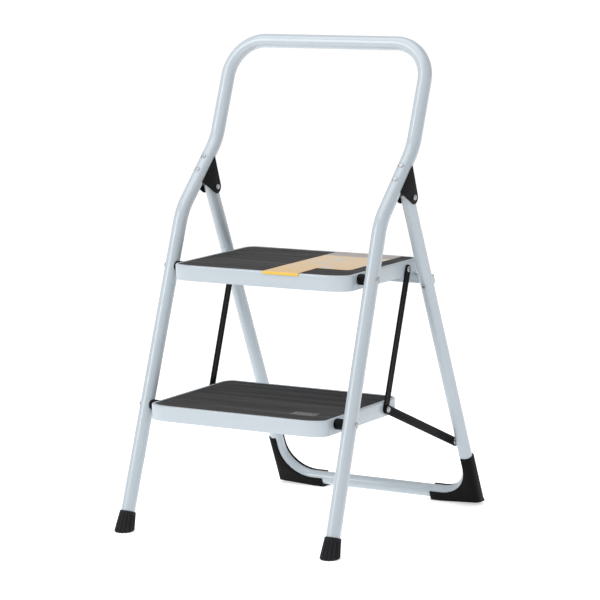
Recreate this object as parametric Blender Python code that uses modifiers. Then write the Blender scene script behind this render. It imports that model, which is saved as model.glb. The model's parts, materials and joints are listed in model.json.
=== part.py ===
"""Folding two-tread step stool: bent tube front frame with a hand hoop, hinged rear frame, linked treads."""
import math
import bmesh
import bpy
from mathutils import Matrix, Vector

# Front frame: one bent tube, legs at the sides, seen from the side it leans back in three straight runs.
frame_spacing = 0.409
foot_splay = 0.0065
front_tube_diameter = 0.025
tube_wall = 0.0012
front_lean = math.radians(17.93)
middle_lean = math.radians(43.43)
top_lean = math.radians(19.43)
lower_knee_height = 0.5527
upper_knee_height = 0.6709
top_bar_height = 0.8494
knee_radius = 0.100
hoop_corner_radius = 0.068
leg_end_up_leg = 0.013

# Front feet: flared ferrules pushed on the leg ends, soles cut level.
foot_top_up_leg = 0.036
foot_top_radius = 0.0143
foot_sole_radius = 0.0186
foot_below_sole = 0.010
foot_rim_edge = 0.0008
foot_sides = 20

# Hinge brackets behind the middle run of the front tube.
hinge_along_run = 0.0896
hinge_behind_tube = 0.0436
bracket_low_along_run = 0.069
bracket_high_along_run = 0.119
bracket_sheet = 0.0020
bracket_nose_radius = 0.0120
ear_front_y = 0.0005
bracket_rivets_along_run = (0.084, 0.1144)

# Rear frame: one bent tube, legs down from the hinge, bar along the floor.
rear_tube_diameter = 0.024
rear_lean = math.radians(24.07)
rear_bar_height = 0.0166
rear_corner_radius = 0.065
rear_tube_above_hinge = 0.0145
plug_cap = 0.0015
plug_depth = 0.0093
shoe_wall = 0.0025
shoe_front_wrap = 0.0012
shoe_side_wall = 0.0008
shoe_side_round = 0.0095
shoe_up_leg = 0.087
shoe_inner_reach = 0.088
shoe_back_short_of_tube = 0.0045
shoe_wrap_past_middle = 0.0052
shoe_flat_sole = 0.020
shoe_corner_rise = 0.0045

# Treads: pressed trays with a skirt, both alike, the rubber mat let into the top.
tread_width = 0.362
tread_depth = 0.263
tread_ahead_of_pivot = 0.0450
tread_skirt = 0.0275
tread_front_corner_across = 0.046
tread_front_corner_deep = 0.024
tread_rear_corner_radius = 0.022
tread_tilt = math.radians(1.8)
tread_rim = 0.0055
tread_sheet = 0.0018
tread_edge_round = 0.0026
rim_above_pivot = 0.0100
mat_thickness = 0.0022
lower_pivot_up_leg = 0.228
upper_pivot_up_leg = 0.479
spacer_radius = 0.0095
saddle_depth = 0.0025

# Links: flat bars. The upper pair ties the treads, the lower pair ties the lower tread to the rear legs.
link_width = 0.0156
link_sheet = 0.0030
link_pivot_behind = 0.1660
rear_link_tail = 0.0060
link_pivot_below = 0.0045
rear_link_down_leg = 0.509
stud_collar_radius = 0.0070

# Cross bar behind the rear legs, on which the upper tread rests.
cross_bar_height = 0.0170
cross_bar_depth = 0.0070
cross_bar_short_of_leg = 0.0060

# Loose card sleeve lying on the upper mat, blank.
card_left = 0.0145
card_fold_right = 0.0870
card_notch_left = 0.0840
card_right = 0.1500
card_notch_back = 0.0210
card_back = 0.2100
card_fold_down = 0.0050
card_corner = 0.0100
card_thickness = 0.0005

# Fasteners and clearances.
pin_radius = 0.0040
rivet_radius = 0.0028
rivet_head_radius = 0.0050
pin_head_radius = 0.0062
inner_head_radius = 0.0054
head_height = 0.0022
low_head_height = 0.0014
gap = 0.0003
hole_clearance = 0.0004
ear_clearance = 0.0006
spacer_edge = 0.0010
dome_share = 0.6
tail_share = 0.9
tail_rise = 0.8

# Cutters and mesh fineness.
drill_length = 0.040
saddle_length = 0.120
cutter_overreach = 0.05
weld_distance = 0.00001

round_sides = 12
bend_step_angle = math.radians(13)

half = frame_spacing / 2
front_r = front_tube_diameter / 2
rear_r = rear_tube_diameter / 2
pin_hole = pin_radius + hole_clearance
rivet_hole = rivet_radius + hole_clearance


def up_leg(distance):
    """Point on the lower run of the front leg, as (y, z)."""
    return Vector((math.sin(front_lean), math.cos(front_lean))) * distance


def leg_x(height):
    """Distance of the front leg's middle from the centre plane, at a height below the lower knee."""
    return half + foot_splay * (1 - height / lower_knee_height)


def clear_scene():
    for obj in list(bpy.data.objects):
        bpy.data.objects.remove(obj, do_unlink=True)


def paint(name, colour, metallic, roughness):
    material = bpy.data.materials.new(name)
    material.use_nodes = True
    shader = material.node_tree.nodes["Principled BSDF"]
    shader.inputs["Base Color"].default_value = (*colour, 1.0)
    shader.inputs["Metallic"].default_value = metallic
    shader.inputs["Roughness"].default_value = roughness
    return material


clear_scene()
part_collection = bpy.data.collections.new("step_stool")
cutter_collection = bpy.data.collections.new("cutters")
bpy.context.scene.collection.children.link(part_collection)
bpy.context.scene.collection.children.link(cutter_collection)

painted_steel = paint("pale_painted_steel", (0.58, 0.66, 0.72), 0.0, 0.35)
black_steel = paint("black_painted_steel", (0.02, 0.02, 0.022), 0.0, 0.40)
bracket_black = paint("black_bracket_plastic", (0.02, 0.02, 0.022), 0.0, 0.45)
foot_rubber = paint("black_foot_rubber", (0.015, 0.015, 0.016), 0.0, 0.75)
mat_rubber = paint("dark_mat_rubber", (0.06, 0.06, 0.063), 0.0, 0.70)
zinc = paint("zinc_rivet", (0.70, 0.71, 0.73), 1.0, 0.30)
card_paper = paint("printed_card", (0.85, 0.62, 0.30), 0.0, 0.50)


def keep(obj, material, parent=None):
    """Put a finished object in the part collection with its material and parent."""
    for collection in list(obj.users_collection):
        collection.objects.unlink(obj)
    part_collection.objects.link(obj)
    if obj.data is not None:
        obj.data.materials.clear()
        obj.data.materials.append(material)
    if parent is not None:
        obj.parent = parent
    return obj


def as_cutter(obj, parent=None):
    for collection in list(obj.users_collection):
        collection.objects.unlink(obj)
    cutter_collection.objects.link(obj)
    obj.hide_render = True
    obj.display_type = "WIRE"
    if parent is not None:
        obj.parent = parent
    return obj


def axis_empty(name, location, tilt=0.0, parent=None):
    empty = bpy.data.objects.new(name, None)
    part_collection.objects.link(empty)
    empty.location = location
    empty.rotation_euler = (tilt, 0.0, 0.0)
    if parent is not None:
        empty.parent = parent
    return empty


def mesh_object(name, mesh):
    obj = bpy.data.objects.new(name, mesh)
    bpy.context.scene.collection.objects.link(obj)
    return obj


def cut(obj, cutter, name):
    boolean = obj.modifiers.new(name, "BOOLEAN")
    boolean.operation = "DIFFERENCE"
    boolean.solver = "EXACT"
    boolean.object = cutter
    return boolean


def smooth(mesh, angle=math.radians(35)):
    """Shade round faces smooth and keep the edges sharper than the angle."""
    mesh.shade_smooth()
    mesh.set_sharp_from_angle(angle=angle)


def mesh_from_curve(curve_obj, name):
    """Turn a curve object into a welded mesh object in the same place."""
    depsgraph = bpy.context.evaluated_depsgraph_get()
    mesh = bpy.data.meshes.new_from_object(curve_obj.evaluated_get(depsgraph))
    work = bmesh.new()
    work.from_mesh(mesh)
    bmesh.ops.remove_doubles(work, verts=work.verts, dist=weld_distance)
    bmesh.ops.recalc_face_normals(work, faces=work.faces)
    work.to_mesh(mesh)
    work.free()
    mesh.name = name
    matrix = curve_obj.matrix_world.copy()
    bpy.data.objects.remove(curve_obj, do_unlink=True)
    obj = mesh_object(name, mesh)
    obj.matrix_world = matrix
    return obj


def rounded_path(corners, radii):
    """Polyline through the corners, each inner one replaced by an arc of its radius."""
    points = [Vector(corners[0])]
    for before, corner, after, radius in zip(corners, corners[1:], corners[2:], radii):
        corner = Vector(corner)
        back = (Vector(before) - corner).normalized()
        ahead = (Vector(after) - corner).normalized()
        half_angle = back.angle(ahead) / 2
        reach = radius / math.tan(half_angle)
        centre = corner + (back + ahead).normalized() * (radius / math.sin(half_angle))
        first = corner + back * reach - centre
        last = corner + ahead * reach - centre
        sweep = first.angle(last)
        steps = max(4, round(sweep / bend_step_angle))
        for step in range(steps + 1):
            share = step / steps
            spoke = (first * math.sin((1 - share) * sweep) + last * math.sin(share * sweep)) / math.sin(sweep)
            points.append(centre + spoke)
    points.append(Vector(corners[-1]))
    return points


def poly_curve(name, points):
    curve = bpy.data.curves.new(name, "CURVE")
    curve.dimensions = "3D"
    spline = curve.splines.new("POLY")
    spline.points.add(len(points) - 1)
    for point, place in zip(spline.points, points):
        point.co = (*place, 1.0)
    obj = bpy.data.objects.new(name, curve)
    bpy.context.scene.collection.objects.link(obj)
    return obj


def hollow_tube(name, points, radius):
    """Open-ended tube along the points, wall thickness inwards."""
    curve_obj = poly_curve(name, points)
    curve_obj.data.bevel_depth = radius
    curve_obj.data.bevel_resolution = 5
    obj = mesh_from_curve(curve_obj, name)
    smooth(obj.data)
    wall = obj.modifiers.new("wall", "SOLIDIFY")
    wall.thickness = tube_wall
    wall.offset = -1
    return obj


def flat_plate(name, loops, half_thickness, turn):
    """Flat outline with round holes, extruded both ways and turned into place."""
    curve = bpy.data.curves.new(name, "CURVE")
    curve.dimensions = "2D"
    curve.fill_mode = "BOTH"
    curve.extrude = half_thickness
    for loop in loops:
        spline = curve.splines.new("POLY")
        spline.points.add(len(loop) - 1)
        for point, (a, b) in zip(spline.points, loop):
            point.co = (a, b, 0.0, 1.0)
        spline.use_cyclic_u = True
    obj = bpy.data.objects.new(name, curve)
    bpy.context.scene.collection.objects.link(obj)
    obj = mesh_from_curve(obj, name)
    obj.data.transform(turn)
    return obj


side_on = Matrix(((0, 0, 1, 0), (1, 0, 0, 0), (0, 1, 0, 0), (0, 0, 0, 1)))
front_on = Matrix.Rotation(math.radians(90), 4, "X")


def circle(a, b, radius, sides=round_sides):
    return [(a + radius * math.cos(2 * math.pi * k / sides),
             b + radius * math.sin(2 * math.pi * k / sides)) for k in range(sides)]


def arc(a, b, radius, start, end, steps):
    """Points on an arc, angles in degrees."""
    points = []
    for step in range(steps + 1):
        angle = math.radians(start + (end - start) * step / steps)
        points.append((a + radius * math.cos(angle), b + radius * math.sin(angle)))
    return points


def corner(a, b, across, deep, start, steps):
    """Points round a quarter of an ellipse, its first angle in degrees."""
    points = []
    for step in range(steps + 1):
        angle = math.radians(start + 90 * step / steps)
        points.append((a + across * math.cos(angle), b + deep * math.sin(angle)))
    return points


def tread_outline(inset):
    """Outline of a tread moved inwards by the inset; the front corners sweep wider than the rear ones."""
    x = tread_half - inset
    low = inset - tread_ahead_of_pivot
    high = tread_depth - tread_ahead_of_pivot - inset
    rear = tread_rear_corner_radius - inset
    across = tread_front_corner_across - inset
    deep = tread_front_corner_deep - inset
    return (corner(x - rear, high - rear, rear, rear, 0, 5) + corner(rear - x, high - rear, rear, rear, 90, 5)
            + corner(across - x, low + deep, across, deep, 180, 6)
            + corner(x - across, low + deep, across, deep, 270, 6))


def turned(name, profile, sides=round_sides):
    """Solid of revolution about local Z from (radius, height) points, outer side from top to bottom."""
    mesh = bpy.data.meshes.new(name)
    work = bmesh.new()
    verts = [work.verts.new((radius, 0.0, height)) for radius, height in profile]
    for first, second in zip(verts, verts[1:]):
        work.edges.new((first, second))
    if profile[0][0] > 0 and profile[-1][0] > 0:
        work.edges.new((verts[-1], verts[0]))
    work.to_mesh(mesh)
    work.free()
    obj = mesh_object(name, mesh)
    screw = obj.modifiers.new("turn", "SCREW")
    screw.axis = "Z"
    screw.steps = sides
    screw.render_steps = sides
    screw.use_merge_vertices = True
    screw.merge_threshold = weld_distance
    screw.use_smooth_shade = True
    return obj


def headed_pin(name, sections):
    """Stepped pin along local Z from (radius, bottom, top) sections, top section first."""
    profile = [(0.0, sections[0][2])]
    for radius, bottom, top in sections:
        if profile[-1][1] != top or profile[-1][0] != radius:
            profile.append((radius, top))
        profile.append((radius, bottom))
    profile.append((0.0, sections[-1][1]))
    return turned(name, profile)


def box(name, low, high):
    mesh = bpy.data.meshes.new(name)
    work = bmesh.new()
    bmesh.ops.create_cube(work, size=1.0)
    size = Vector(high) - Vector(low)
    middle = (Vector(high) + Vector(low)) / 2
    work.transform(Matrix.Translation(middle) @ Matrix.Diagonal((*size, 1.0)))
    work.to_mesh(mesh)
    work.free()
    return mesh_object(name, mesh)


def round_tube(radius):
    """Radius of a faceted cutter whose flats, not its corners, clear a tube of the given radius."""
    return radius / math.cos(math.pi / round_sides)


def drills(name, holes, parent=None):
    """Cylinders as one cutter, each given as centre, direction, radius and length."""
    mesh = bpy.data.meshes.new(name)
    work = bmesh.new()
    for centre, direction, radius, length in holes:
        spin = Vector((0, 0, 1)).rotation_difference(Vector(direction)).to_matrix().to_4x4()
        bmesh.ops.create_cone(work, cap_ends=True, segments=round_sides, radius1=radius, radius2=radius,
                              depth=length, matrix=Matrix.Translation(centre) @ spin)
    work.to_mesh(mesh)
    work.free()
    return as_cutter(mesh_object(name, mesh), parent)


# Places in the side plane, as (y, z), from the sole of the front foot.
lower_knee = Vector((lower_knee_height * math.tan(front_lean), lower_knee_height))
upper_knee = lower_knee + Vector((math.tan(middle_lean), 1.0)) * (upper_knee_height - lower_knee_height)
hoop_top = upper_knee + Vector((math.tan(top_lean), 1.0)) * (top_bar_height - upper_knee_height)
run_up = Vector((math.sin(middle_lean), math.cos(middle_lean)))
run_back = Vector((math.cos(middle_lean), -math.sin(middle_lean)))
hinge = lower_knee + run_up * hinge_along_run + run_back * hinge_behind_tube
upper_pivot = up_leg(upper_pivot_up_leg)
lower_pivot = up_leg(lower_pivot_up_leg)
leg_down = Vector((math.sin(rear_lean), -math.cos(rear_lean)))
rear_leg_length = (hinge.y - rear_bar_height) / math.cos(rear_lean)
tread_along = Vector((math.cos(tread_tilt), math.sin(tread_tilt)))
tread_up = Vector((-math.sin(tread_tilt), math.cos(tread_tilt)))
link_offset = tread_along * link_pivot_behind - tread_up * link_pivot_below
upper_link_pivot = upper_pivot + link_offset
lower_link_pivot = lower_pivot + link_offset
rear_link_pivot = hinge + leg_down * rear_link_down_leg
rear_foot = hinge + leg_down * rear_leg_length

# Places across the width, right-hand side.
tread_half = tread_width / 2
upper_link_x = tread_half + gap + link_sheet / 2
lower_link_x = upper_link_x + link_sheet + gap
ear_inner_x = rear_r + ear_clearance
ear_outer_x = ear_inner_x + bracket_sheet

stool = axis_empty("stool", (0.0, 0.0, 0.0))
front_body = axis_empty("front_frame_axis", (0.0, 0.0, 0.0), parent=stool)
run_axis = axis_empty("middle_run_axis", (0.0, lower_knee.x, lower_knee.y), -middle_lean, front_body)
upper_axis = axis_empty("upper_tread_axis", (0.0, upper_pivot.x, upper_pivot.y), tread_tilt, stool)
lower_axis = axis_empty("lower_tread_axis", (0.0, lower_pivot.x, lower_pivot.y), tread_tilt, stool)
link_direction = upper_link_pivot - lower_link_pivot
upper_link_axis = axis_empty("upper_link_axis", (0.0, upper_link_pivot.x, upper_link_pivot.y),
                             math.atan2(-link_direction.x, link_direction.y), stool)
strut = rear_link_pivot - lower_link_pivot
lower_link_axis = axis_empty("lower_link_axis", (0.0, lower_link_pivot.x, lower_link_pivot.y),
                             math.atan2(strut.y, strut.x), stool)
rear_axis = axis_empty("rear_frame_axis", (0.0, hinge.x, hinge.y), rear_lean, stool)


def build_front_frame():
    end = up_leg(leg_end_up_leg)
    side = [end, lower_knee, upper_knee, hoop_top]
    widths = [leg_x(end.y), half, half, half]
    corners = [(-x, *p) for x, p in zip(widths, side)]
    corners += [(x, *p) for x, p in reversed(list(zip(widths, side)))]
    radii = [knee_radius, knee_radius, hoop_corner_radius, hoop_corner_radius, knee_radius, knee_radius]
    tube = hollow_tube("front_frame_tube", rounded_path(corners, radii), front_r)
    keep(tube, painted_steel, front_body)
    holes = []
    for side_sign in (-1, 1):
        x = side_sign * half
        for pivot in (upper_pivot, lower_pivot):
            place = (side_sign * leg_x(pivot.y), pivot.x, pivot.y)
            holes.append((place, (1, 0, 0), pin_hole, drill_length))
        for along in bracket_rivets_along_run:
            place = lower_knee + run_up * along
            holes.append(((x, place.x, place.y), (0, run_back.x, run_back.y),
                          rivet_hole, drill_length))
    cut(tube, drills("front_frame_holes", holes, front_body), "pin_holes")


def build_front_foot(side_name, side_sign):
    """Cup on the leg end, turned about the leg and cut off level at the floor."""
    bore = front_r + gap
    seat = leg_end_up_leg - gap
    profile = [(0.0, seat), (bore, seat), (bore, foot_top_up_leg),
               (foot_top_radius - foot_rim_edge, foot_top_up_leg),
               (foot_top_radius, foot_top_up_leg - foot_rim_edge),
               (foot_sole_radius, -foot_below_sole), (0.0, -foot_below_sole)]
    foot = turned("front_foot_" + side_name, profile, foot_sides)
    splay = math.atan(foot_splay / lower_knee_height)
    foot.location = (side_sign * leg_x(0.0), 0.0, 0.0)
    foot.rotation_euler = (-front_lean, -side_sign * splay, 0.0)
    keep(foot, foot_rubber, front_body)
    reach = 3 * foot_sole_radius
    x = side_sign * leg_x(0.0)
    floor = box("floor_under_foot_" + side_name, (x - reach, -reach, -reach), (x + reach, reach, 0.0))
    cut(foot, as_cutter(floor), "level_sole")


def build_bracket(side_name, side_sign):
    """Folded clevis saddled on the back of the tube, with two ears round the rear tube, in the axes of the run."""
    nose_y = hinge_behind_tube
    nose_z = hinge_along_run
    web_y = front_r + gap
    upper = tangent_angle((web_y, bracket_high_along_run), (nose_y, nose_z), bracket_nose_radius, 1)
    lower = tangent_angle((web_y, bracket_low_along_run), (nose_y, nose_z), bracket_nose_radius, -1)
    nose = arc(nose_y, nose_z, bracket_nose_radius, upper, lower, 10)
    outline = [carried_on(nose[-1], (web_y, bracket_low_along_run), ear_front_y),
               carried_on(nose[0], (web_y, bracket_high_along_run), ear_front_y)] + nose
    outline.reverse()
    bracket = flat_plate("hinge_bracket_" + side_name, [outline], ear_outer_x, side_on)
    bracket.location = (side_sign * half, 0.0, 0.0)
    keep(bracket, bracket_black, run_axis)
    fork = as_cutter(box("fork_slot_" + side_name,
                         (-ear_inner_x, web_y + bracket_sheet, bracket_low_along_run - cutter_overreach),
                         (ear_inner_x, nose_y + cutter_overreach,
                          bracket_high_along_run + cutter_overreach)), run_axis)
    fork.location = (side_sign * half, 0.0, 0.0)
    cut(bracket, fork, "fork_slot")
    holes = [((side_sign * half, nose_y, nose_z), (1, 0, 0), pin_hole, drill_length)]
    for along in bracket_rivets_along_run:
        holes.append(((side_sign * half, web_y, along), (0, 1, 0), rivet_hole, drill_length))
    saddle = [((side_sign * half, 0.0, nose_z), (0, 0, 1), round_tube(front_r + gap), saddle_length)]
    cut(bracket, drills("tube_saddle_" + side_name, saddle, run_axis), "tube_saddle")
    cut(bracket, drills("bracket_holes_" + side_name, holes, run_axis), "holes")
    for place, along in zip(("lower", "upper"), bracket_rivets_along_run):
        tail = web_y + bracket_sheet + gap
        head = front_r + gap
        rivet = headed_pin("bracket_rivet_%s_%s" % (side_name, place),
                           [(rivet_head_radius * dome_share, head + head_height * dome_share,
                             head + head_height),
                            (rivet_head_radius, head, head + head_height * dome_share),
                            (rivet_radius, -tail, head),
                            (rivet_head_radius * tail_share, -tail - head_height * tail_rise, -tail)])
        rivet.location = (side_sign * half, 0.0, along)
        rivet.rotation_euler = (math.radians(90), 0.0, 0.0)
        keep(rivet, zinc, run_axis)
    outer = ear_outer_x + gap
    pin = headed_pin("hinge_pin_" + side_name,
                     [(pin_head_radius * dome_share, outer + head_height * dome_share, outer + head_height),
                      (pin_head_radius, outer, outer + head_height * dome_share),
                      (pin_radius, -outer, outer),
                      (pin_head_radius * tail_share, -outer - head_height * dome_share, -outer)])
    pin.location = (side_sign * half, nose_y, nose_z)
    pin.rotation_euler = (0.0, math.radians(90), 0.0)
    keep(pin, zinc, run_axis)


def carried_on(start, through, y):
    """Where the line from the start through a second point reaches y, as (y, z)."""
    slope = (through[1] - start[1]) / (through[0] - start[0])
    return (y, through[1] + slope * (y - through[0]))


def tangent_angle(point, centre, radius, side):
    """Angle in degrees at which a line from the point touches the circle, on the given side."""
    away = Vector(point) - Vector(centre)
    spread = math.acos(radius / away.length)
    return math.degrees(math.atan2(away.y, away.x) - side * spread)


def build_tread(level, axis):
    """Pressed tray with a let-in mat, in the tread's own axes with the pivot line as origin."""
    top = rim_above_pivot
    middle = top - tread_skirt / 2
    tray = flat_plate(level + "_tread_tray", [tread_outline(0.0)], tread_skirt / 2,
                      Matrix.Translation((0, 0, middle)))
    smooth(tray.data)
    edge = tray.modifiers.new("pressed_edge", "BEVEL")
    edge.width = tread_edge_round
    edge.segments = 2
    edge.limit_method = "ANGLE"
    edge.angle_limit = math.radians(50)
    keep(tray, painted_steel, axis)
    recess_depth = mat_thickness + gap
    recess = flat_plate("mat_recess_" + level, [tread_outline(tread_rim)],
                        recess_depth, Matrix.Translation((0, 0, top)))
    cut(tray, as_cutter(recess, axis), "mat_recess")
    ceiling = top - recess_depth - tread_sheet
    floor = top - tread_skirt - cutter_overreach
    cavity = flat_plate("tray_hollow_" + level, [tread_outline(tread_sheet)],
                        (ceiling - floor) / 2, Matrix.Translation((0, 0, (ceiling + floor) / 2)))
    cut(tray, as_cutter(cavity, axis), "hollow_underneath")
    holes = []
    for side_sign in (-1, 1):
        for y, z in ((0.0, 0.0), (link_pivot_behind, -link_pivot_below)):
            holes.append(((side_sign * tread_half, y, z), (1, 0, 0), pin_hole, drill_length))
    cut(tray, drills("tray_holes_" + level, holes, axis), "pin_holes")
    mat = flat_plate(level + "_tread_mat", [tread_outline(tread_rim + gap)],
                     mat_thickness / 2, Matrix.Translation((0, 0, top - mat_thickness / 2)))
    keep(mat, mat_rubber, axis)


def build_step_pin(name, axis_body, side_sign, pivot):
    """Rivet through the leg, the spacer and the skirt of the tray, and the spacer itself."""
    leg = leg_x(pivot.y)
    outer = leg + front_r + gap
    inner = tread_half - tread_sheet - gap
    pin = headed_pin("step_pin_" + name,
                     [(pin_head_radius * dome_share, outer + low_head_height * dome_share,
                       outer + low_head_height),
                      (pin_head_radius, outer, outer + low_head_height * dome_share),
                      (pin_radius, inner, outer),
                      (inner_head_radius, inner - head_height * tail_rise, inner)])
    pin.location = (0.0, pivot.x, pivot.y)
    pin.rotation_euler = (0.0, math.radians(90 * side_sign), 0.0)
    keep(pin, zinc, axis_body)
    near = tread_half + gap
    far = leg - front_r + saddle_depth
    bore = pin_hole
    spacer = turned("pivot_spacer_" + name,
                    [(bore, far), (spacer_radius - spacer_edge, far), (spacer_radius, far - spacer_edge),
                     (spacer_radius, near + spacer_edge), (spacer_radius - spacer_edge, near), (bore, near)])
    spacer.location = (0.0, pivot.x, pivot.y)
    spacer.rotation_euler = (0.0, math.radians(90 * side_sign), 0.0)
    keep(spacer, bracket_black, axis_body)
    # The leg is round, so the spacer's outer end is hollowed to sit round it.
    saddle = drills("leg_saddle_" + name, [((side_sign * leg, pivot.x, pivot.y),
                                           (-side_sign * foot_splay / lower_knee_height,
                                            math.tan(front_lean), 1.0),
                                           round_tube(front_r + gap), drill_length)], axis_body)
    cut(spacer, saddle, "leg_saddle")


def link_outline(length, tail=0.0):
    radius = link_width / 2
    return arc(0, 0, radius, 90, 270, 8) + arc(length + tail, 0, radius, -90, 90, 8)


def build_links(side_name, side_sign):
    hole = pin_hole
    length = link_direction.length
    bar = flat_plate("upper_link_" + side_name,
                     [link_outline(length), circle(0, 0, hole), circle(length, 0, hole)],
                     link_sheet / 2, side_on @ Matrix.Rotation(math.radians(-90), 4, "Z"))
    bar.location = (side_sign * upper_link_x, 0.0, 0.0)
    keep(bar, black_steel, upper_link_axis)
    length = strut.length
    bar = flat_plate("lower_link_" + side_name,
                     [link_outline(length, rear_link_tail), circle(0, 0, hole), circle(length, 0, hole)],
                     link_sheet / 2, side_on)
    bar.location = (side_sign * lower_link_x, 0.0, 0.0)
    keep(bar, black_steel, lower_link_axis)
    inner = tread_half - tread_sheet - gap
    outer = upper_link_x + link_sheet / 2 + gap
    pin = headed_pin("upper_link_pin_" + side_name,
                     [(inner_head_radius * dome_share, outer + head_height * dome_share, outer + head_height),
                      (inner_head_radius, outer, outer + head_height * dome_share),
                      (pin_radius, inner, outer),
                      (inner_head_radius, inner - head_height * tail_rise, inner)])
    pin.location = (0.0, link_pivot_behind, -link_pivot_below)
    pin.rotation_euler = (0.0, math.radians(90 * side_sign), 0.0)
    keep(pin, zinc, upper_axis)
    outer = lower_link_x + link_sheet / 2 + gap
    pin = headed_pin("lower_link_pin_" + side_name,
                     [(inner_head_radius * dome_share, outer + head_height * dome_share, outer + head_height),
                      (inner_head_radius, outer, outer + head_height * dome_share),
                      (pin_radius, inner, outer),
                      (inner_head_radius, inner - head_height * tail_rise, inner)])
    pin.location = (0.0, link_pivot_behind, -link_pivot_below)
    pin.rotation_euler = (0.0, math.radians(90 * side_sign), 0.0)
    keep(pin, zinc, lower_axis)
    near = lower_link_x - link_sheet / 2 - gap
    far = lower_link_x + link_sheet / 2 + gap
    stud = headed_pin("rear_link_stud_" + side_name,
                      [(stud_collar_radius, far, half - rear_r - gap),
                       (pin_radius, near, far),
                       (inner_head_radius, near - head_height * tail_rise, near)])
    stud.location = (0.0, strut.length, 0.0)
    stud.rotation_euler = (0.0, math.radians(90 * side_sign), 0.0)
    keep(stud, zinc, lower_link_axis)


def cross_bar_top():
    """Height in the rear frame's axes at which the bar's back edge just clears the tray above it."""
    back = rear_r + gap + cross_bar_depth
    skirt_edge = rim_above_pivot - tread_skirt
    down = leg_down
    back_dir = Vector((math.cos(rear_lean), math.sin(rear_lean)))
    start = hinge + back_dir * back
    height = (start - upper_pivot).dot(tread_up) - (skirt_edge - gap)
    return height / down.dot(tread_up)


def build_rear_frame():
    top = rear_tube_above_hinge
    bottom = -rear_leg_length
    corners = [(-half, 0, top), (-half, 0, bottom), (half, 0, bottom), (half, 0, top)]
    tube = hollow_tube("rear_frame_tube", rounded_path(corners, [rear_corner_radius] * 2), rear_r)
    keep(tube, painted_steel, rear_axis)
    bar_top = cross_bar_top()
    bar_middle = bar_top - cross_bar_height / 2
    near = rear_r + gap
    reach = half + rear_r - cross_bar_short_of_leg
    bar = box("rear_cross_bar", (-reach, near, bar_top - cross_bar_height),
              (reach, near + cross_bar_depth, bar_top))
    keep(bar, painted_steel, rear_axis)
    tube_holes = []
    bar_holes = []
    for side_name, side_sign in (("left", -1), ("right", 1)):
        x = side_sign * half
        tube_holes.append(((x, 0, 0), (1, 0, 0), pin_hole, drill_length))
        tube_holes.append(((x, 0, bar_middle), (0, 1, 0), rivet_hole, drill_length))
        bar_holes.append(((x, near, bar_middle), (0, 1, 0), rivet_hole, drill_length))
        tail = near + cross_bar_depth + gap
        head = rear_r + gap
        rivet = headed_pin("cross_bar_rivet_" + side_name,
                           [(rivet_head_radius * dome_share, head + head_height * dome_share,
                             head + head_height),
                            (rivet_head_radius, head, head + head_height * dome_share),
                            (rivet_radius, -tail, head),
                            (rivet_head_radius, -tail - head_height * tail_rise, -tail)])
        rivet.location = (x, 0.0, bar_middle)
        rivet.rotation_euler = (math.radians(90), 0.0, 0.0)
        keep(rivet, zinc, rear_axis)
        plug_bore = rear_r - tube_wall - gap
        plug = headed_pin("rear_tube_plug_" + side_name,
                          [(rear_r, top + gap, top + gap + plug_cap),
                           (plug_bore, top - plug_depth, top + gap)])
        plug.location = (x, 0.0, 0.0)
        keep(plug, bracket_black, rear_axis)
    cut(tube, drills("rear_frame_holes", tube_holes, rear_axis), "holes")
    cut(bar, drills("cross_bar_holes", bar_holes, rear_axis), "holes")


def build_rear_shoe(side_name, side_sign):
    """Corner shoe round the bend of the rear tube, wrapping the outer part of the tube in front."""
    bottom = -rear_leg_length
    outer_x = half + rear_r + shoe_side_wall
    centre_x = half - rear_corner_radius
    centre_z = bottom + rear_corner_radius
    back_radius = rear_corner_radius - rear_r + shoe_back_short_of_tube
    collar_z = bottom + shoe_up_leg
    inner_end = half - shoe_inner_reach
    below = bottom - 2 * rear_bar_height
    outline = [(outer_x, below), (outer_x, collar_z), (centre_x + back_radius, collar_z)]
    outline += arc(centre_x, centre_z, back_radius, 0, -90, 10)
    outline += [(inner_end, centre_z - back_radius), (inner_end, below)]
    half_depth = rear_r + (shoe_wall + shoe_front_wrap) / 2
    shoe = flat_plate("rear_shoe_" + side_name, [handed(outline, side_sign)], half_depth, front_on)
    shoe.location = (0.0, (shoe_wall - shoe_front_wrap) / 2, 0.0)
    keep(shoe, bracket_black, rear_axis)
    round_outer_edges(shoe, outer_x)
    path = rounded_path([(side_sign * half, 0, collar_z + shoe_up_leg), (side_sign * half, 0, bottom),
                         (0.0, 0, bottom)], [rear_corner_radius])
    curve_obj = poly_curve("tube_channel_" + side_name, path)
    curve_obj.data.bevel_depth = rear_r + gap
    curve_obj.data.bevel_resolution = 5
    curve_obj.data.use_fill_caps = True
    channel = mesh_from_curve(curve_obj, "tube_channel_" + side_name)
    cut(shoe, as_cutter(channel, rear_axis), "tube_channel")
    # In front the shoe is open over the inner part of the tube.
    mouth_radius = rear_corner_radius - shoe_wrap_past_middle
    past_end = 2 * rear_r
    opening = [(centre_x + mouth_radius, collar_z + past_end), (inner_end - past_end, collar_z + past_end),
               (inner_end - past_end, centre_z - mouth_radius)]
    opening += arc(centre_x, centre_z, mouth_radius, -90, 0, 8)
    mouth = flat_plate("shoe_mouth_" + side_name, [handed(opening, side_sign)], rear_r, front_on)
    mouth.location = (0.0, -rear_r, 0.0)
    cut(shoe, as_cutter(mouth, rear_axis), "mouth")
    # The sole is level near the middle of the stool and rises a little towards the outer corner.
    deep = shoe_inner_reach
    floor = [(inner_end - deep, -deep), (outer_x + deep, -deep), (outer_x + deep, shoe_corner_rise),
             (outer_x, shoe_corner_rise), (inner_end + shoe_flat_sole, 0.0), (inner_end - deep, 0.0)]
    ground = flat_plate("floor_under_shoe_" + side_name, [handed(floor, side_sign)], deep, front_on)
    ground.location = (0.0, rear_foot.x, 0.0)
    cut(shoe, as_cutter(ground), "level_sole")


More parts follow.
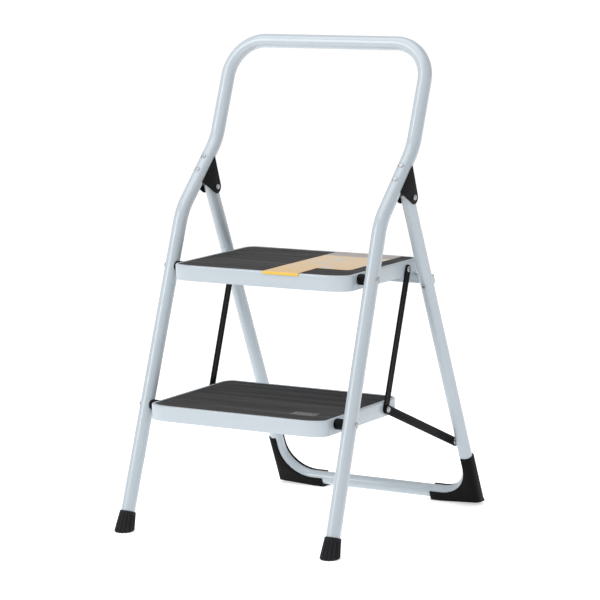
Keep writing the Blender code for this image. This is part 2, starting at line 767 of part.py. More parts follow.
def handed(outline, side_sign):
    """The outline for the right-hand side, or its mirror image for the left."""
    if side_sign > 0:
        return outline
    return [(-x, z) for x, z in reversed(outline)]


def round_outer_edges(shoe, outer_x):
    """Round the two long edges on the outer side of a shoe."""
    weights = shoe.data.attributes.new("bevel_weight_edge", "FLOAT", "EDGE")
    for edge in shoe.data.edges:
        first, second = (shoe.data.vertices[index].co for index in edge.vertices)
        at_side = abs(abs(first.x) - outer_x) < gap and abs(abs(second.x) - outer_x) < gap
        if at_side and abs(first.y - second.y) < gap:
            weights.data[edge.index].value = 1.0
    side = shoe.modifiers.new("rounded_side", "BEVEL")
    side.width = shoe_side_round
    side.segments = 4
    side.limit_method = "WEIGHT"


def build_card():
    """Blank card sleeve on the upper mat, its front edge folded down over the rim."""
    top = rim_above_pivot + gap
    rim = -tread_ahead_of_pivot - gap
    front = rim - card_thickness
    fold_bottom = rim_above_pivot - card_fold_down
    outline = [(card_left, front), (card_fold_right, front), (card_notch_left, card_notch_back),
               (card_right - card_corner, card_notch_back), (card_right, card_notch_back + card_corner),
               (card_right, card_back), (card_left, card_back)]
    thick = top + card_thickness - fold_bottom
    sheet = flat_plate("tread_card", [outline], thick / 2,
                       Matrix.Translation((0, 0, fold_bottom + thick / 2)))
    keep(sheet, card_paper, upper_axis)
    under = box("under_card", (card_left - card_corner, rim, fold_bottom - card_corner),
                (card_right + card_corner, card_back + card_corner, top))
    cut(sheet, as_cutter(under, upper_axis), "sheet_underside")


build_front_frame()
for side_name, side_sign in (("left", -1), ("right", 1)):
    build_front_foot(side_name, side_sign)
    build_bracket(side_name, side_sign)
    build_rear_shoe(side_name, side_sign)
    build_links(side_name, side_sign)
    build_step_pin("upper_" + side_name, front_body, side_sign, upper_pivot)
    build_step_pin("lower_" + side_name, front_body, side_sign, lower_pivot)
build_tread("upper", upper_axis)
build_tread("lower", lower_axis)
build_rear_frame()
build_card()


def footprint_middle():
    """Middle of the built parts from front to back."""
    bpy.context.view_layer.update()
    depsgraph = bpy.context.evaluated_depsgraph_get()
    reach = []
    for obj in part_collection.objects:
        if obj.type == "MESH":
            done = obj.evaluated_get(depsgraph)
            reach += [(done.matrix_world @ vertex.co).y for vertex in done.data.vertices]
    return (min(reach) + max(reach)) / 2


# Stand the stool with its footprint centred on the origin; the cutters under the floor move with it.
middle_y = footprint_middle()
stool.location.y = -middle_y
for cutter in cutter_collection.objects:
    if cutter.parent is None:
        cutter.location.y -= middle_y
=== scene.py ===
import json
import math

import bmesh
import bpy
from mathutils import Matrix, Vector


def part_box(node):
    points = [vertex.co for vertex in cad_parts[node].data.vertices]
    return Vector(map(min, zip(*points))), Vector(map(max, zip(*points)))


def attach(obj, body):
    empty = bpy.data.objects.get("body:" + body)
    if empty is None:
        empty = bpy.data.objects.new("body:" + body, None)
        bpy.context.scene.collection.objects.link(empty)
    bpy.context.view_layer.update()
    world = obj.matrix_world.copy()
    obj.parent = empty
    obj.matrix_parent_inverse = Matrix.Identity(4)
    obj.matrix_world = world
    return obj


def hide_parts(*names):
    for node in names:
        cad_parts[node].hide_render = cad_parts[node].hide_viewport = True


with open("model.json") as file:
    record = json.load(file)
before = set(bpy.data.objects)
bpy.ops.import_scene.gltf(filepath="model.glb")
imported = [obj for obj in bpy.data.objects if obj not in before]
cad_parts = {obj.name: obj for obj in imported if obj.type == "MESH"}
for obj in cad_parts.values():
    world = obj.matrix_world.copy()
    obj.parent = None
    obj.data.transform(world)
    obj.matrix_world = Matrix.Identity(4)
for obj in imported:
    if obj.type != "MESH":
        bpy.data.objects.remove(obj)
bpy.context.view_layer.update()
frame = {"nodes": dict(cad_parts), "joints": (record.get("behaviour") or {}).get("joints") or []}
foldJoints = {joint["name"]: joint for joint in frame["joints"]}
print("stool loaded:", len(frame["nodes"]), "parts")


# wiring for node trees

class Plug:
    # one output of a node, which can be used in sums like a number
    def __init__(self, bench, socket):
        self.bench = bench
        self.socket = socket

    def sum(self, operation, first, second):
        return self.bench.node("ShaderNodeMath", {"operation": operation}, {0: first, 1: second})

    def __add__(self, other):
        return self.sum("ADD", self, other)

    def __radd__(self, other):
        return self.sum("ADD", other, self)

    def __sub__(self, other):
        return self.sum("SUBTRACT", self, other)

    def __rsub__(self, other):
        return self.sum("SUBTRACT", other, self)

    def __mul__(self, other):
        return self.sum("MULTIPLY", self, other)

    def __rmul__(self, other):
        return self.sum("MULTIPLY", other, self)

    def __truediv__(self, other):
        return self.sum("DIVIDE", self, other)

    def __rtruediv__(self, other):
        return self.sum("DIVIDE", other, self)

    def __pow__(self, other):
        return self.sum("POWER", self, other)

    def __rpow__(self, other):
        return self.sum("POWER", other, self)

    def __gt__(self, other):
        return self.sum("GREATER_THAN", self, other)

    def __lt__(self, other):
        return self.sum("LESS_THAN", self, other)


class Bench:
    # a node tree that nodes are laid out on
    def __init__(self, tree):
        self.tree = tree

    def node(self, kind, settings=None, values=None, output=0):
        made = self.tree.nodes.new(kind)
        for name, value in (settings or {}).items():
            setattr(made, name, value)
        for name, value in (values or {}).items():
            if isinstance(value, Plug):
                self.tree.links.new(value.socket, made.inputs[name])
            else:
                made.inputs[name].default_value = value
        return Plug(self, made.outputs[output])

    def part(self, where, axis):
        # one of x, y and z
        return self.node("ShaderNodeSeparateXYZ", None, {"Vector": where}, axis)

    def noise(self, where, scale, detail=2.0, roughness=0.5):
        return self.node("ShaderNodeTexNoise", None, {"Vector": where, "Scale": scale, "Detail": detail,
                                                      "Roughness": roughness})

    def stretch(self, where, scale, turn=(0, 0, 0), shift=(0, 0, 0)):
        return self.node("ShaderNodeMapping", None, {"Vector": where, "Scale": scale, "Rotation": turn,
                                                     "Location": shift})

    def remap(self, value, low, high, newLow, newHigh):
        return self.node("ShaderNodeMapRange", {"clamp": True}, {
            "Value": value, "From Min": low, "From Max": high, "To Min": newLow, "To Max": newHigh})

    def blend(self, share, first, second):
        # colours are mixed here, and numbers in sums
        full = [(*c, 1.0) if isinstance(c, tuple) else c for c in (first, second)]
        return self.node("ShaderNodeMix", {"data_type": "RGBA"}, {0: share, 6: full[0], 7: full[1]}, 2)


class Finish(Bench):
    # a material with its shader ready for wiring
    def __init__(self, name, constants):
        self.material = bpy.data.materials.new(name)
        self.material.use_nodes = True
        super().__init__(self.material.node_tree)
        self.shader = self.tree.nodes["Principled BSDF"]
        for socket, value in constants.items():
            self.shader.inputs[socket].default_value = value
        coordinates = self.tree.nodes.new("ShaderNodeTexCoord")
        self.place = Plug(self, coordinates.outputs["Object"])
        self.flat = Plug(self, coordinates.outputs["UV"])

    def wire(self, socket, plug):
        self.tree.links.new(plug.socket, self.shader.inputs[socket])

    def bump(self, height, depth, strength):
        raised = self.node("ShaderNodeBump", None, {"Height": height, "Distance": depth,
                                                    "Strength": strength})
        self.wire("Normal", raised)


# finishes

paintLook = {
    "light": (0.500, 0.556, 0.594),
    "dark": (0.445, 0.502, 0.543),
    "scuff": (0.40, 0.43, 0.45),
    "speck": (0.36, 0.39, 0.41),
    "roughness": 0.22,
    "orangePeel": 520.0,     # fine waves in the paint, to a metre
}


def paintedSteel():
    f = Finish("paleGlossPaint", {"IOR": 1.5, "Coat Roughness": 0.12, "Coat IOR": 1.5})
    broad = f.noise(f.place, 2.5, 1.0)
    peel = f.noise(f.place, paintLook["orangePeel"], 1.0)
    speck = f.remap(f.noise(f.place, 1900.0, 0.0), 0.74, 0.80, 0.0, 0.55)
    rub = f.remap(f.noise(f.stretch(f.place, (60, 60, 14)), 3.0, 6.0, 0.7), 0.70, 0.86, 0.0, 0.22)
    colour = f.blend(broad, paintLook["dark"], paintLook["light"])
    colour = f.blend(rub * 0.30, colour, paintLook["scuff"])
    f.wire("Base Color", f.blend(speck * 0.5, colour, paintLook["speck"]))
    f.wire("Roughness", paintLook["roughness"] + 0.10 * broad + 0.35 * rub)
    f.wire("Coat Weight", 0.55 - 0.4 * rub)
    f.bump(peel + 0.25 * speck, 0.00006, 0.55)
    return f.material


blackLook = {
    "rubber": (0.0040, 0.0034, 0.0046),
    # the next colour is a painted sheen for the foot rubber
    "rubberLight": (0.012, 0.0105, 0.0130),
    "plastic": (0.0035, 0.0034, 0.0036),
    "plasticLight": (0.007, 0.007, 0.0072),
    "steel": (0.006, 0.006, 0.0065),
    "steelLight": (0.012, 0.012, 0.013),
    "chip": (0.20, 0.20, 0.20),
    "dust": (0.040, 0.039, 0.038),
}


def footRubber():
    f = Finish("ribbedFootRubber", {"IOR": 1.45, "Specular IOR Level": 0.34})
    grain = f.noise(f.place, 1400.0, 2.0)
    chalk = f.remap(f.noise(f.place, 130.0, 5.0, 0.7), 0.50, 0.75, 0.0, 1.0)
    height = f.part(f.place, 2)
    low = f.remap(height, 0.0, 0.012, 1.0, 0.15)
    # fine grain mixes a lighter purple-black tone into the rubber, which is a painted sheen
    colour = f.blend(0.45 * grain, blackLook["rubber"], blackLook["rubberLight"])
    f.wire("Base Color", f.blend(0.30 * chalk * low, colour, blackLook["dust"]))
    f.wire("Roughness", 0.48 + 0.22 * grain + 0.15 * chalk * low)
    f.bump(grain, 0.00008, 0.6)
    return f.material


def mouldedPlastic():
    f = Finish("satinBlackPlastic", {"IOR": 1.45, "Specular IOR Level": 0.08})
    grain = f.noise(f.place, 2300.0, 1.0)
    cloud = f.noise(f.place, 28.0, 4.0)
    scratch = f.remap(f.noise(f.stretch(f.place, (40, 340, 20), (0.5, 0.3, 0.2)), 4.0, 4.0, 0.65),
                      0.68, 0.74, 0.0, 1.0)
    colour = f.blend(cloud, blackLook["plastic"], blackLook["plasticLight"])
    f.wire("Base Color", f.blend(0.22 * scratch, colour, blackLook["dust"]))
    f.wire("Roughness", 0.38 + 0.14 * cloud + 0.18 * scratch)
    f.bump(grain - 0.4 * scratch, 0.00005, 0.7)
    return f.material


def blackSteel():
    f = Finish("blackEnamelSteel", {"IOR": 1.45, "Specular IOR Level": 0.05})
    cloud = f.noise(f.place, 45.0, 4.0)
    peel = f.noise(f.place, 900.0, 1.0)
    chip = f.remap(f.noise(f.place, 420.0, 3.0, 0.6), 0.72, 0.76, 0.0, 1.0)
    colour = f.blend(cloud, blackLook["steel"], blackLook["steelLight"])
    f.wire("Base Color", f.blend(0.35 * chip, colour, blackLook["chip"]))
    f.wire("Roughness", 0.30 + 0.18 * cloud)
    f.wire("Metallic", 0.5 * chip)
    f.bump(peel - 0.5 * chip, 0.00006, 0.5)
    return f.material


matLook = {
    "dark": (0.017, 0.0160, 0.0168),
    "light": (0.062, 0.059, 0.061),
    "worn": (0.105, 0.103, 0.102),
    "rubbedPatch": (0.30, 0.30, 0.31),
    "patchSides": (0.090, 0.138),      # across the lower mat
    "patchEnds": (-0.004, 0.019),      # behind its pivot line
}


def matRubber(name, patchBox):
    # streaks run along the ribs, and a plain rubbed patch lies where patchBox says, in metres
    f = Finish(name, {"IOR": 1.40})
    streak = f.noise(f.stretch(f.place, (2.0, 190.0, 190.0)), 3.0, 5.0, 0.65)
    broad = f.noise(f.stretch(f.place, (1.6, 34.0, 34.0)), 2.0, 3.0)
    grain = f.noise(f.place, 1700.0, 1.0)
    colour = f.blend(f.remap(streak, 0.34, 0.70, 0.0, 1.0), matLook["dark"], matLook["light"])
    colour = f.blend(f.remap(broad, 0.48, 0.74, 0.0, 0.50), colour, matLook["worn"])
    if patchBox:
        left, right, front, back = patchBox
        across = f.part(f.place, 0)
        along = f.part(f.place, 1)
        inside = (across > left) * (across < right) * (along > front) * (along < back)
        patchy = f.remap(f.noise(f.place, 420.0, 3.0), 0.40, 0.56, 0.25, 1.0)
        colour = f.blend(0.62 * inside * patchy, colour, matLook["rubbedPatch"])
    f.wire("Base Color", colour)
    f.wire("Roughness", 0.52 + 0.22 * streak)
    f.bump(grain + 0.8 * streak, 0.00010, 0.6)
    return f.material


zincLook = {
    "dark": (0.30, 0.31, 0.33),
    "light": (0.56, 0.57, 0.58),
}


def zincSteel():
    f = Finish("brightZinc", {})
    cloud = f.noise(f.place, 260.0, 4.0)
    brush = f.noise(f.stretch(f.place, (900, 120, 120)), 3.0, 3.0)
    f.wire("Base Color", f.blend(cloud, zincLook["dark"], zincLook["light"]))
    f.wire("Metallic", 0.98 - 0.15 * cloud)
    f.wire("Roughness", 0.24 + 0.22 * brush)
    f.bump(brush, 0.00005, 0.5)
    return f.material


cardLook = {
    "fold": (0.76, 0.47, 0.050),
    "sheet": (0.80, 0.52, 0.22),
    "pale": (0.78, 0.58, 0.36),
    "blotch": (0.66, 0.60, 0.54),
    "film": (0.52, 0.45, 0.44),
    "filmLight": (0.60, 0.55, 0.53),
}


def cardPaper():
    # the card's own map: u across the tread, v back from the fold, both in metres
    f = Finish("glossyCard", {"IOR": 1.48, "Coat Roughness": 0.2})
    across = f.part(f.flat, 0)
    back = f.part(f.flat, 1)
    fibre = f.noise(f.place, 1300.0, 3.0)
    drift = f.noise(f.place, 24.0, 3.0)
    colour = f.blend(f.remap(back + 0.02 * drift, 0.02, 0.16, 0.0, 1.0), cardLook["sheet"], cardLook["pale"])
    spots = f.remap(f.noise(f.stretch(f.flat, (26.0, 19.0, 1.0)), 1.0, 1.0), 0.55, 0.61, 0.0, 1.0)
    colour = f.blend(0.75 * spots * f.remap(back, 0.055, 0.07, 0.0, 1.0), colour, cardLook["blotch"])
    colour = f.blend(f.remap(back, 0.0000, 0.0012, 1.0, 0.0), colour, cardLook["fold"])
    edge = f.remap(across, 0.0, 0.004, 0.35, 0.0)
    f.wire("Base Color", f.blend(edge, colour, cardLook["fold"]))
    f.wire("Roughness", 0.34 + 0.16 * fibre)
    f.wire("Coat Weight", 0.25 + 0.2 * drift)
    f.bump(fibre + 2.0 * drift, 0.00008, 0.4)
    return f.material


def clearFilm():
    f = Finish("greyFilm", {"IOR": 1.45})
    haze = f.noise(f.place, 60.0, 4.0)
    f.wire("Base Color", f.blend(haze, cardLook["film"], cardLook["filmLight"]))
    f.wire("Roughness", 0.22 + 0.2 * haze)
    f.wire("Alpha", 0.66 + 0.14 * haze)
    f.bump(haze, 0.0002, 0.5)
    return f.material


lowerPivot = Vector(foldJoints["lower_tread_fold"]["pos_m"])
paint = paintedSteel()
rubber = footRubber()
plastic = mouldedPlastic()
steel = blackSteel()
zinc = zincSteel()
upperMatLook = matRubber("ribbedMatUpper", None)
patchEnds = (lowerPivot.y + end for end in matLook["patchEnds"])
lowerMatLook = matRubber("ribbedMatLower", (*matLook["patchSides"], *patchEnds))
card = cardPaper()
film = clearFilm()
print("finishes mixed")


# making and placing pieces

def axisFrame(joint, tilt):
    # a place at the joint's line, tilted about the stool's width
    turn = Matrix.Rotation(math.radians(tilt), 4, "X")
    return Matrix.Translation(Vector(foldJoints[joint]["pos_m"])) @ turn


def signedVolume(mesh):
    mesh.calc_loop_triangles()
    total = 0.0
    for triangle in mesh.loop_triangles:
        a, b, c = (mesh.vertices[i].co for i in triangle.vertices)
        total += a.dot(b.cross(c))
    return total / 6


weldDistances = {
    "made": 0.000002,    # between points of a piece made here
    "copied": 0.000004,  # between loose corners of a copied part
}


def outward(mesh):
    # merges doubles and turns every face to the outside
    work = bmesh.new()
    work.from_mesh(mesh)
    bmesh.ops.remove_doubles(work, verts=work.verts, dist=weldDistances["made"])
    bmesh.ops.recalc_face_normals(work, faces=work.faces)
    work.to_mesh(mesh)
    work.free()
    if signedVolume(mesh) < 0:
        mesh.flip_normals()


def addPiece(name, mesh, body, nodes, finish, sharp=38):
    piece = bpy.data.objects.new(name, mesh)
    bpy.context.scene.collection.objects.link(piece)
    if finish is not None:
        mesh.materials.clear()
        mesh.materials.append(finish)
    mesh.shade_smooth()
    mesh.set_sharp_from_angle(angle=math.radians(sharp))
    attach(piece, body)
    if nodes:
        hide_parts(*nodes)
    return piece


def baked(thing):
    # the plain mesh that an object's modifiers give; the object is used up
    bpy.context.view_layer.update()
    mesh = bpy.data.meshes.new_from_object(thing.evaluated_get(bpy.context.evaluated_depsgraph_get()))
    bpy.data.objects.remove(thing, do_unlink=True)
    return mesh


def lofted(name, rings):
    # skin over closed rings with the same number of points, shut at both ends
    mesh = bpy.data.meshes.new(name)
    work = bmesh.new()
    rows = [[work.verts.new(point) for point in ring] for ring in rings]
    for low, high in zip(rows, rows[1:]):
        for i in range(len(low)):
            j = (i + 1) % len(low)
            work.faces.new((low[i], low[j], high[j], high[i]))
    work.faces.new(list(reversed(rows[0])))
    work.faces.new(rows[-1])
    work.to_mesh(mesh)
    work.free()
    return mesh


def loose(name, mesh):
    thing = bpy.data.objects.new(name, mesh)
    bpy.context.scene.collection.objects.link(thing)
    return thing


def newTree(name, inputs):
    # a geometry tree with named inputs after its geometry
    tree = bpy.data.node_groups.new(name, "GeometryNodeTree")
    tree.interface.new_socket("Geometry", in_out="INPUT", socket_type="NodeSocketGeometry")
    for title, kind in inputs.items():
        tree.interface.new_socket(title, in_out="INPUT", socket_type=kind)
    tree.interface.new_socket("Geometry", in_out="OUTPUT", socket_type="NodeSocketGeometry")
    bench = Bench(tree)
    entry = tree.nodes.new("NodeGroupInput")
    return bench, {socket.name: Plug(bench, socket) for socket in entry.outputs if socket.name}


def closeTree(bench, geometry, finish):
    # instances made real, finish set, and the result handed out
    solid = bench.node("GeometryNodeRealizeInstances", None, {"Geometry": geometry})
    painted = bench.node("GeometryNodeSetMaterial", None, {"Geometry": solid, "Material": finish})
    result = bench.tree.nodes.new("NodeGroupOutput")
    bench.tree.links.new(painted.socket, result.inputs[0])
    return bench.tree


def grow(name, mesh, tree, values):
    # runs a geometry tree over a mesh and gives the plain mesh it makes
    thing = loose(name, mesh)
    modifier = thing.modifiers.new("grow", "NODES")
    modifier.node_group = tree
    keys = {item.name: item.identifier for item in tree.interface.items_tree
            if item.item_type == "SOCKET" and item.in_out == "INPUT"}
    for title, value in values.items():
        modifier[keys[title]] = value
    return baked(thing)


# tubes

tubeSizes = {
    "spacing": 0.409,
    "footSplay": 0.0065,
    "frontDiameter": 0.025,
    "rearDiameter": 0.024,
    "frontLean": 17.93,      # of the legs, in degrees from upright
    "middleLean": 43.43,
    "topLean": 19.43,
    "lowerKnee": 0.5527,
    "upperKnee": 0.6709,
    "topBar": 0.8494,
    "kneeRadius": 0.100,
    "hoopRadius": 0.068,
    "rearLean": 24.07,
    "rearBar": 0.0166,
    "rearRadius": 0.065,
    "rearAboveHinge": 0.0145,
    "legEnd": 0.013,
    "lowerPivotUpLeg": 0.228,
    "sides": 40,
    "bendStep": 4.0,         # degrees of bend to one facet
}
halfSpacing = tubeSizes["spacing"] / 2
frontRadius = tubeSizes["frontDiameter"] / 2
rearRadius = tubeSizes["rearDiameter"] / 2
footLine = lowerPivot.y - tubeSizes["lowerPivotUpLeg"] * math.sin(math.radians(tubeSizes["frontLean"]))


def roundedPath(corners, radii, bendStep):
    # the corners joined by arcs of the given radii
    points = [Vector(corners[0])]
    for before, middle, after, radius in zip(corners, corners[1:], corners[2:], radii):
        middle = Vector(middle)
        back = (Vector(before) - middle).normalized()
        ahead = (Vector(after) - middle).normalized()
        halfAngle = back.angle(ahead) / 2
        reach = radius / math.tan(halfAngle)
        centre = middle + (back + ahead).normalized() * (radius / math.sin(halfAngle))
        first = middle + back * reach - centre
        last = middle + ahead * reach - centre
        sweep = first.angle(last)
        steps = max(4, round(math.degrees(sweep) / bendStep))
        for step in range(steps + 1):
            share = step / steps
            spoke = first * math.sin((1 - share) * sweep) + last * math.sin(share * sweep)
            points.append(centre + spoke / math.sin(sweep))
    points.append(Vector(corners[-1]))
    return points


def sweepTree():
    # a round tube along the edges of the mesh it is given
    bench, given = newTree("tubeSweep", {"Radius": "NodeSocketFloat", "Sides": "NodeSocketInt",
                                         "Finish": "NodeSocketMaterial"})
    line = bench.node("GeometryNodeMeshToCurve", None, {"Mesh": given["Geometry"]})
    ring = bench.node("GeometryNodeCurvePrimitiveCircle", None, {"Resolution": given["Sides"],
                                                                "Radius": given["Radius"]})
    tube = bench.node("GeometryNodeCurveToMesh", None, {"Curve": line, "Profile Curve": ring,
                                                        "Fill Caps": True})
    return closeTree(bench, tube, given["Finish"])


tubeSweep = sweepTree()


def tubeMesh(name, points, radius):
    mesh = bpy.data.meshes.new(name)
    mesh.from_pydata(points, [(i, i + 1) for i in range(len(points) - 1)], [])
    made = grow(name, mesh, tubeSweep, {"Radius": radius, "Sides": tubeSizes["sides"], "Finish": paint})
    outward(made)
    return made


def legX(height):
    return halfSpacing + tubeSizes["footSplay"] * (1 - height / tubeSizes["lowerKnee"])


def frontPath():
    leans = ("frontLean", "middleLean", "topLean")
    front, middle, top = (math.tan(math.radians(tubeSizes[key])) for key in leans)
    endUp = tubeSizes["legEnd"] * math.cos(math.radians(tubeSizes["frontLean"]))
    kneeLow = (footLine + front * tubeSizes["lowerKnee"], tubeSizes["lowerKnee"])
    kneeHigh = (kneeLow[0] + middle * (tubeSizes["upperKnee"] - kneeLow[1]), tubeSizes["upperKnee"])
    bar = (kneeHigh[0] + top * (tubeSizes["topBar"] - kneeHigh[1]), tubeSizes["topBar"])
    side = [(footLine + front * endUp, endUp), kneeLow, kneeHigh, bar]
    widths = [legX(endUp)] + [halfSpacing] * 3
    corners = [(-x, *p) for x, p in zip(widths, side)]
    corners += [(x, *p) for x, p in reversed(list(zip(widths, side)))]
    knee, hoop = tubeSizes["kneeRadius"], tubeSizes["hoopRadius"]
    return roundedPath(corners, [knee, knee, hoop, hoop, knee, knee], tubeSizes["bendStep"])


rearFrame = axisFrame("rear_frame_fold", tubeSizes["rearLean"])
rearHinge = rearFrame.translation.copy()
rearLength = (rearHinge.z - tubeSizes["rearBar"]) / math.cos(math.radians(tubeSizes["rearLean"]))


def rearPath():
    top = tubeSizes["rearAboveHinge"]
    corners = [(-halfSpacing, 0, top), (-halfSpacing, 0, -rearLength), (halfSpacing, 0, -rearLength),
               (halfSpacing, 0, top)]
    return roundedPath([rearFrame @ Vector(c) for c in corners], [tubeSizes["rearRadius"]] * 2,
                       tubeSizes["bendStep"])


addPiece("frontTube", tubeMesh("frontTube", frontPath(), frontRadius), "front_frame", ["front_frame_tube"],
         None)
addPiece("rearTube", tubeMesh("rearTube", rearPath(), rearRadius), "rear_frame", ["rear_frame_tube"],
         None)
print("tubes bent")


# treads

treadSizes = {
    "width": 0.362,
    "depth": 0.263,
    "ahead": 0.045,
    "skirt": 0.0275,
    "cornerAcross": 0.046,
    "cornerDeep": 0.024,
    "rearCorner": 0.022,
    "tilt": 1.8,
    "rim": 0.0055,
    "sheet": 0.0018,
    "edge": 0.0028,
    "top": 0.010,
    "mat": 0.0022,
    "gap": 0.0003,
    "cornerSteps": 14,
    "rimRound": 0.0007,      # the raised rim's inner edge
    "hemRound": 0.0009,      # the skirt's lower edge
    "innerBend": 0.002,      # inside corner between skirt and top
    "matRound": 0.0007,
    "firstTuck": 0.0002,     # where a rounding starts
}
ribSizes = {
    "pitch": 0.0027,     # from one rib to the next
    "width": 0.0015,
    "height": 0.00045,
    "margin": 0.0035,    # plain border round the ribs
}


def quarter(a, b, across, deep, start, steps):
    points = []
    for step in range(steps):
        angle = math.radians(start + 90 * step / (steps - 1))
        points.append((a + across * math.cos(angle), b + deep * math.sin(angle)))
    return points


def treadOutline(inset):
    t = treadSizes
    n = t["cornerSteps"]
    x = t["width"] / 2 - inset
    low = inset - t["ahead"]
    high = t["depth"] - t["ahead"] - inset
    rear = t["rearCorner"] - inset
    across = t["cornerAcross"] - inset
    deep = t["cornerDeep"] - inset
    return (quarter(x - rear, high - rear, rear, rear, 0, n)
            + quarter(rear - x, high - rear, rear, rear, 90, n)
            + quarter(across - x, low + deep, across, deep, 180, n)
            + quarter(x - across, low + deep, across, deep, 270, n))


def treadRings(place, levels):
    return [[place @ Vector((x, y, height)) for x, y in treadOutline(inset)] for inset, height in levels]


def roundOver(inset, height, radius, start, end, steps):
    # (inset, height) pairs round an edge, with the rounding's centre at the first two numbers
    pairs = []
    for step in range(steps + 1):
        angle = math.radians(start + (end - start) * step / steps)
        pairs.append((inset - radius * math.cos(angle), height + radius * math.sin(angle)))
    return pairs


def trayMesh(name, place):
    t = treadSizes
    top = t["top"]
    seat = top - t["mat"] - t["gap"]
    low = top - t["skirt"]
    ceiling = seat - t["sheet"]
    rim, sheet, edge, hem = t["rim"], t["sheet"], t["edge"], t["hemRound"]
    levels = [(rim, seat), (rim, top - t["rimRound"]), (rim - t["firstTuck"], top - t["firstTuck"]),
              (rim - t["rimRound"], top)]
    levels += roundOver(edge, top - edge, edge, 90, 0, 5)
    levels += [(0.0, low + hem)] + roundOver(hem, low + hem, hem, 0, -90, 3)
    levels += [(sheet, low), (sheet, ceiling - t["innerBend"]), (sheet + t["innerBend"], ceiling)]
    mesh = lofted(name, treadRings(place, levels))
    outward(mesh)
    return mesh


def ribTree():
    # low round ribs in rows, each as long as the mat is wide there
    bench, given = newTree("matRibs", {
        "Half Width": "NodeSocketFloat", "Front": "NodeSocketFloat", "Rows": "NodeSocketInt",
        "Pitch": "NodeSocketFloat", "Front Across": "NodeSocketFloat", "Front Deep": "NodeSocketFloat",
        "Rear Corner": "NodeSocketFloat", "Depth": "NodeSocketFloat", "Rib Width": "NodeSocketFloat",
        "Rib Height": "NodeSocketFloat", "Finish": "NodeSocketMaterial"})
    start = bench.node("ShaderNodeCombineXYZ", None, {"Y": given["Front"]})
    step = bench.node("ShaderNodeCombineXYZ", None, {"Y": given["Pitch"]})
    line = bench.node("GeometryNodeMeshLine", None, {"Count": given["Rows"], "Start Location": start,
                                                     "Offset": step})
    row = bench.node("GeometryNodeInputIndex")
    along = row * given["Pitch"]

    def cornerLoss(distance, across, deep):
        # how much a rounded corner takes off the width at a distance from the end
        share = 1 - bench.node("ShaderNodeMath", {"operation": "MINIMUM"}, {0: distance / deep, 1: 1.0})
        return across * (1 - bench.node("ShaderNodeMath", {"operation": "SQRT"}, {0: 1 - share * share}))

    front = cornerLoss(along, given["Front Across"], given["Front Deep"])
    rear = cornerLoss(given["Depth"] - along, given["Rear Corner"], given["Rear Corner"])
    length = given["Half Width"] - front - rear
    size = bench.node("ShaderNodeCombineXYZ", None, {"X": length, "Y": given["Rib Width"],
                                                     "Z": given["Rib Height"]})
    placed = bench.node("GeometryNodeInstanceOnPoints", None, {
        "Points": line, "Instance": given["Geometry"], "Scale": size})
    return closeTree(bench, placed, given["Finish"])


matRibs = ribTree()


def unitRib():
    # half-round bar, 2 long and 1 wide, standing on z = 0 with a buried foot
    section = [(-0.5, -0.6)] + [(-0.5 * math.cos(math.radians(a)), math.sin(math.radians(a)))
                                for a in range(0, 181, 30)] + [(0.5, -0.6)]
    return lofted("unitRib", [[(x, y, z) for y, z in section] for x in (-1.0, 1.0)])


def matMesh(name, place, finish):
    t, r = treadSizes, ribSizes
    inset = t["rim"] + t["gap"]
    bottom = t["top"] - t["mat"]
    face = t["top"] - r["height"]
    levels = [(inset, bottom), (inset, face - 0.0006), (inset + t["firstTuck"], face - t["firstTuck"]),
              (inset + t["matRound"], face)]
    base = lofted(name, treadRings(Matrix.Identity(4), levels))
    outward(base)
    border = inset + r["margin"]
    span = t["depth"] - 2 * border
    rows = int(span / r["pitch"]) + 1
    rib = unitRib()
    outward(rib)
    ribs = grow(name + "Ribs", rib, matRibs, {
        "Half Width": t["width"] / 2 - border, "Front": border - t["ahead"], "Rows": rows,
        "Pitch": r["pitch"], "Front Across": t["cornerAcross"] - border,
        "Front Deep": t["cornerDeep"] - border, "Rear Corner": t["rearCorner"] - border, "Depth": span,
        "Rib Width": r["width"], "Rib Height": r["height"], "Finish": finish})
    work = bmesh.new()
    work.from_mesh(ribs)
    bmesh.ops.translate(work, verts=work.verts, vec=(0, 0, face))
    work.from_mesh(base)
    work.transform(place)
    mesh = bpy.data.meshes.new(name)
    work.to_mesh(mesh)
    work.free()
    return mesh


treadPlaces = {level: axisFrame(level + "_tread_fold", treadSizes["tilt"]) for level in ("upper", "lower")}
for level, look in (("upper", upperMatLook), ("lower", lowerMatLook)):
    body = level + "_tread"
    addPiece(level + "Tray", trayMesh(level + "Tray", treadPlaces[level]), body, [body + "_tray"], paint,
             50)
    addPiece(level + "Mat", matMesh(level + "Mat", treadPlaces[level], look), body, [body + "_mat"], look)
print("treads pressed and matted")


# front feet

footSizes = {
    "top": 0.036,
    "topRadius": 0.0143,
    "soleRadius": 0.0188,
    "below": 0.010,
    "soleRound": 0.0035,
    "seat": 0.013,
    "flutes": 14,
    "fluteDepth": 0.0022,
    "fluteShape": 0.60,      # below 1 the grooves are narrower than the ridges
    "fluteStart": 0.0030,    # below the rim, where the grooves begin
    "fluteFull": 0.0060,     # below the rim, where they have their full depth
    "boreGap": 0.0003,
    "boreWall": 0.0006,      # left unfluted outside the bore
    "boreLip": 0.0004,
    "seatRadius": 0.004,     # hub in the middle of the seat
    "sides": 128,
}


